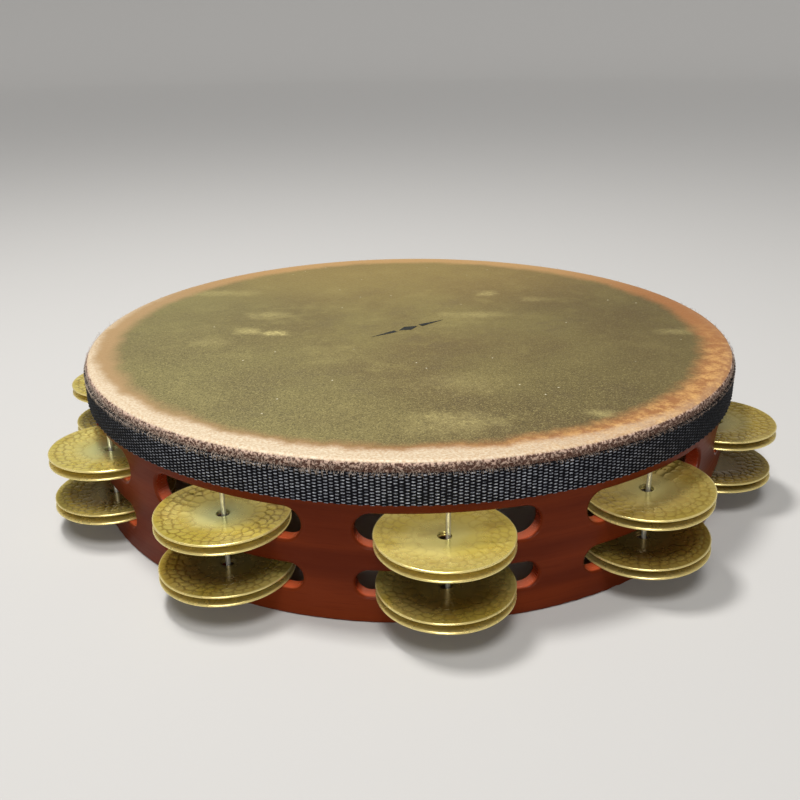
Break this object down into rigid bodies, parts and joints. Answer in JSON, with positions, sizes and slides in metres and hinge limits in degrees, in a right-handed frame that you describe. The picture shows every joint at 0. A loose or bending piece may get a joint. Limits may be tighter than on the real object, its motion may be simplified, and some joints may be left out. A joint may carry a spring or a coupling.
{
  "type": "tambourine",
  "caption": "Wooden tambourine with a skin head and two rows of paired, dished brass jingles that slide on pins in the shell's slots.",
  "frame": {"origin": "on the shell's axis, in the plane of its open bottom edge, which the tambourine rests on", "axes": "+Z along the shell's axis, from the open edge to the skin; +Y from the axis through the middle of the wide grip; +X completes a right-handed frame"},
  "size_m": [0.2902, 0.27, 0.0555],
  "materials": {
    "shell_wood": "reddish-brown satin lacquer",
    "head_skin": "mottled olive-gold natural skin",
    "band_webbing": "coarse black woven band",
    "pin_steel": "plain bright wire",
    "jingle_brass": "hand-hammered, lightly tarnished"
  },
  "bodies": {
    "shell_assembly": {"shell": "shell_wood", "head": "head_skin", "head_band": "band_webbing", "pin_01": "pin_steel", "pin_02": "pin_steel", "pin_03": "pin_steel", "pin_04": "pin_steel", "pin_05": "pin_steel", "pin_06": "pin_steel", "pin_07": "pin_steel", "pin_08": "pin_steel", "pin_09": "pin_steel", "pin_10": "pin_steel"},
    "jingle_lower_01_bottom": {"jingle_lower_01_bottom": "jingle_brass"},
    "jingle_lower_01_top": {"jingle_lower_01_top": "jingle_brass"},
    "jingle_lower_02_bottom": {"jingle_lower_02_bottom": "jingle_brass"},
    "jingle_lower_02_top": {"jingle_lower_02_top": "jingle_brass"},
    "jingle_lower_03_bottom": {"jingle_lower_03_bottom": "jingle_brass"},
    "jingle_lower_03_top": {"jingle_lower_03_top": "jingle_brass"},
    "jingle_lower_04_bottom": {"jingle_lower_04_bottom": "jingle_brass"},
    "jingle_lower_04_top": {"jingle_lower_04_top": "jingle_brass"},
    "jingle_lower_05_bottom": {"jingle_lower_05_bottom": "jingle_brass"},
    "jingle_lower_05_top": {"jingle_lower_05_top": "jingle_brass"},
    "jingle_lower_06_bottom": {"jingle_lower_06_bottom": "jingle_brass"},
    "jingle_lower_06_top": {"jingle_lower_06_top": "jingle_brass"},
    "jingle_lower_07_bottom": {"jingle_lower_07_bottom": "jingle_brass"},
    "jingle_lower_07_top": {"jingle_lower_07_top": "jingle_brass"},
    "jingle_lower_08_bottom": {"jingle_lower_08_bottom": "jingle_brass"},
    "jingle_lower_08_top": {"jingle_lower_08_top": "jingle_brass"},
    "jingle_lower_09_bottom": {"jingle_lower_09_bottom": "jingle_brass"},
    "jingle_lower_09_top": {"jingle_lower_09_top": "jingle_brass"},
    "jingle_lower_10_bottom": {"jingle_lower_10_bottom": "jingle_brass"},
    "jingle_lower_10_top": {"jingle_lower_10_top": "jingle_brass"},
    "jingle_upper_01_bottom": {"jingle_upper_01_bottom": "jingle_brass"},
    "jingle_upper_01_top": {"jingle_upper_01_top": "jingle_brass"},
    "jingle_upper_02_bottom": {"jingle_upper_02_bottom": "jingle_brass"},
    "jingle_upper_02_top": {"jingle_upper_02_top": "jingle_brass"},
    "jingle_upper_03_bottom": {"jingle_upper_03_bottom": "jingle_brass"},
    "jingle_upper_03_top": {"jingle_upper_03_top": "jingle_brass"},
    "jingle_upper_04_bottom": {"jingle_upper_04_bottom": "jingle_brass"},
    "jingle_upper_04_top": {"jingle_upper_04_top": "jingle_brass"},
    "jingle_upper_05_bottom": {"jingle_upper_05_bottom": "jingle_brass"},
    "jingle_upper_05_top": {"jingle_upper_05_top": "jingle_brass"},
    "jingle_upper_06_bottom": {"jingle_upper_06_bottom": "jingle_brass"},
    "jingle_upper_06_top": {"jingle_upper_06_top": "jingle_brass"},
    "jingle_upper_07_bottom": {"jingle_upper_07_bottom": "jingle_brass"},
    "jingle_upper_07_top": {"jingle_upper_07_top": "jingle_brass"},
    "jingle_upper_08_bottom": {"jingle_upper_08_bottom": "jingle_brass"},
    "jingle_upper_08_top": {"jingle_upper_08_top": "jingle_brass"},
    "jingle_upper_09_bottom": {"jingle_upper_09_bottom": "jingle_brass"},
    "jingle_upper_09_top": {"jingle_upper_09_top": "jingle_brass"},
    "jingle_upper_10_bottom": {"jingle_upper_10_bottom": "jingle_brass"},
    "jingle_upper_10_top": {"jingle_upper_10_top": "jingle_brass"}
  },
  "joints": [
    {"name": "jingle_lower_01_bottom_slide", "type": "slide", "parent": "shell_assembly", "child": "jingle_lower_01_bottom", "axis": [0, 0, 1], "range_m": [0, 0.0026]},
    {"name": "jingle_lower_01_top_slide", "type": "slide", "parent": "jingle_lower_01_bottom", "child": "jingle_lower_01_top", "axis": [0, 0, 1], "range_m": [0, 0.0026]},
    {"name": "jingle_lower_02_bottom_slide", "type": "slide", "parent": "shell_assembly", "child": "jingle_lower_02_bottom", "axis": [0, 0, 1], "range_m": [0, 0.0026]},
    {"name": "jingle_lower_02_top_slide", "type": "slide", "parent": "jingle_lower_02_bottom", "child": "jingle_lower_02_top", "axis": [0, 0, 1], "range_m": [0, 0.0026]},
    {"name": "jingle_lower_03_bottom_slide", "type": "slide", "parent": "shell_assembly", "child": "jingle_lower_03_bottom", "axis": [0, 0, 1], "range_m": [0, 0.0026]},
    {"name": "jingle_lower_03_top_slide", "type": "slide", "parent": "jingle_lower_03_bottom", "child": "jingle_lower_03_top", "axis": [0, 0, 1], "range_m": [0, 0.0026]},
    {"name": "jingle_lower_04_bottom_slide", "type": "slide", "parent": "shell_assembly", "child": "jingle_lower_04_bottom", "axis": [0, 0, 1], "range_m": [0, 0.0026]},
    {"name": "jingle_lower_04_top_slide", "type": "slide", "parent": "jingle_lower_04_bottom", "child": "jingle_lower_04_top", "axis": [0, 0, 1], "range_m": [0, 0.0026]},
    {"name": "jingle_lower_05_bottom_slide", "type": "slide", "parent": "shell_assembly", "child": "jingle_lower_05_bottom", "axis": [0, 0, 1], "range_m": [0, 0.0026]},
    {"name": "jingle_lower_05_top_slide", "type": "slide", "parent": "jingle_lower_05_bottom", "child": "jingle_lower_05_top", "axis": [0, 0, 1], "range_m": [0, 0.0026]},
    {"name": "jingle_lower_06_bottom_slide", "type": "slide", "parent": "shell_assembly", "child": "jingle_lower_06_bottom", "axis": [0, 0, 1], "range_m": [0, 0.00128]},
    {"name": "jingle_lower_06_top_slide", "type": "slide", "parent": "jingle_lower_06_bottom", "child": "jingle_lower_06_top", "axis": [0, 0, 1], "range_m": [0, 0.00128]},
    {"name": "jingle_lower_07_bottom_slide", "type": "slide", "parent": "shell_assembly", "child": "jingle_lower_07_bottom", "axis": [0, 0, 1], "range_m": [0, 0.0026]},
    {"name": "jingle_lower_07_top_slide", "type": "slide", "parent": "jingle_lower_07_bottom", "child": "jingle_lower_07_top", "axis": [0, 0, 1], "range_m": [0, 0.0026]},
    {"name": "jingle_lower_08_bottom_slide", "type": "slide", "parent": "shell_assembly", "child": "jingle_lower_08_bottom", "axis": [0, 0, 1], "range_m": [0, 0.0026]},
    {"name": "jingle_lower_08_top_slide", "type": "slide", "parent": "jingle_lower_08_bottom", "child": "jingle_lower_08_top", "axis": [0, 0, 1], "range_m": [0, 0.0026]},
    {"name": "jingle_lower_09_bottom_slide", "type": "slide", "parent": "shell_assembly", "child": "jingle_lower_09_bottom", "axis": [0, 0, 1], "range_m": [0, 0.0026]},
    {"name": "jingle_lower_09_top_slide", "type": "slide", "parent": "jingle_lower_09_bottom", "child": "jingle_lower_09_top", "axis": [0, 0, 1], "range_m": [0, 0.0026]},
    {"name": "jingle_lower_10_bottom_slide", "type": "slide", "parent": "shell_assembly", "child": "jingle_lower_10_bottom", "axis": [0, 0, 1], "range_m": [0, 0.0026]},
    {"name": "jingle_lower_10_top_slide", "type": "slide", "parent": "jingle_lower_10_bottom", "child": "jingle_lower_10_top", "axis": [0, 0, 1], "range_m": [0, 0.0026]},
    {"name": "jingle_upper_01_bottom_slide", "type": "slide", "parent": "shell_assembly", "child": "jingle_upper_01_bottom", "axis": [0, 0, 1], "range_m": [0, 0.00365]},
    {"name": "jingle_upper_01_top_slide", "type": "slide", "parent": "jingle_upper_01_bottom", "child": "jingle_upper_01_top", "axis": [0, 0, 1], "range_m": [0, 0.00365]},
    {"name": "jingle_upper_02_bottom_slide", "type": "slide", "parent": "shell_assembly", "child": "jingle_upper_02_bottom", "axis": [0, 0, 1], "range_m": [0, 0.00365]},
    {"name": "jingle_upper_02_top_slide", "type": "slide", "parent": "jingle_upper_02_bottom", "child": "jingle_upper_02_top", "axis": [0, 0, 1], "range_m": [0, 0.00365]},
    {"name": "jingle_upper_03_bottom_slide", "type": "slide", "parent": "shell_assembly", "child": "jingle_upper_03_bottom", "axis": [0, 0, 1], "range_m": [0, 0.00365]},
    {"name": "jingle_upper_03_top_slide", "type": "slide", "parent": "jingle_upper_03_bottom", "child": "jingle_upper_03_top", "axis": [0, 0, 1], "range_m": [0, 0.00365]},
    {"name": "jingle_upper_04_bottom_slide", "type": "slide", "parent": "shell_assembly", "child": "jingle_upper_04_bottom", "axis": [0, 0, 1], "range_m": [0, 0.00365]},
    {"name": "jingle_upper_04_top_slide", "type": "slide", "parent": "jingle_upper_04_bottom", "child": "jingle_upper_04_top", "axis": [0, 0, 1], "range_m": [0, 0.00365]},
    {"name": "jingle_upper_05_bottom_slide", "type": "slide", "parent": "shell_assembly", "child": "jingle_upper_05_bottom", "axis": [0, 0, 1], "range_m": [0, 0.00365]},
    {"name": "jingle_upper_05_top_slide", "type": "slide", "parent": "jingle_upper_05_bottom", "child": "jingle_upper_05_top", "axis": [0, 0, 1], "range_m": [0, 0.00365]},
    {"name": "jingle_upper_06_bottom_slide", "type": "slide", "parent": "shell_assembly", "child": "jingle_upper_06_bottom", "axis": [0, 0, 1], "range_m": [0, 0.00233]},
    {"name": "jingle_upper_06_top_slide", "type": "slide", "parent": "jingle_upper_06_bottom", "child": "jingle_upper_06_top", "axis": [0, 0, 1], "range_m": [0, 0.00233]},
    {"name": "jingle_upper_07_bottom_slide", "type": "slide", "parent": "shell_assembly", "child": "jingle_upper_07_bottom", "axis": [0, 0, 1], "range_m": [0, 0.00365]},
    {"name": "jingle_upper_07_top_slide", "type": "slide", "parent": "jingle_upper_07_bottom", "child": "jingle_upper_07_top", "axis": [0, 0, 1], "range_m": [0, 0.00365]},
    {"name": "jingle_upper_08_bottom_slide", "type": "slide", "parent": "shell_assembly", "child": "jingle_upper_08_bottom", "axis": [0, 0, 1], "range_m": [0, 0.00365]},
    {"name": "jingle_upper_08_top_slide", "type": "slide", "parent": "jingle_upper_08_bottom", "child": "jingle_upper_08_top", "axis": [0, 0, 1], "range_m": [0, 0.00365]},
    {"name": "jingle_upper_09_bottom_slide", "type": "slide", "parent": "shell_assembly", "child": "jingle_upper_09_bottom", "axis": [0, 0, 1], "range_m": [0, 0.00365]},
    {"name": "jingle_upper_09_top_slide", "type": "slide", "parent": "jingle_upper_09_bottom", "child": "jingle_upper_09_top", "axis": [0, 0, 1], "range_m": [0, 0.00365]},
    {"name": "jingle_upper_10_bottom_slide", "type": "slide", "parent": "shell_assembly", "child": "jingle_upper_10_bottom", "axis": [0, 0, 1], "range_m": [0, 0.00365]},
    {"name": "jingle_upper_10_top_slide", "type": "slide", "parent": "jingle_upper_10_bottom", "child": "jingle_upper_10_top", "axis": [0, 0, 1], "range_m": [0, 0.00365]}
  ]
}
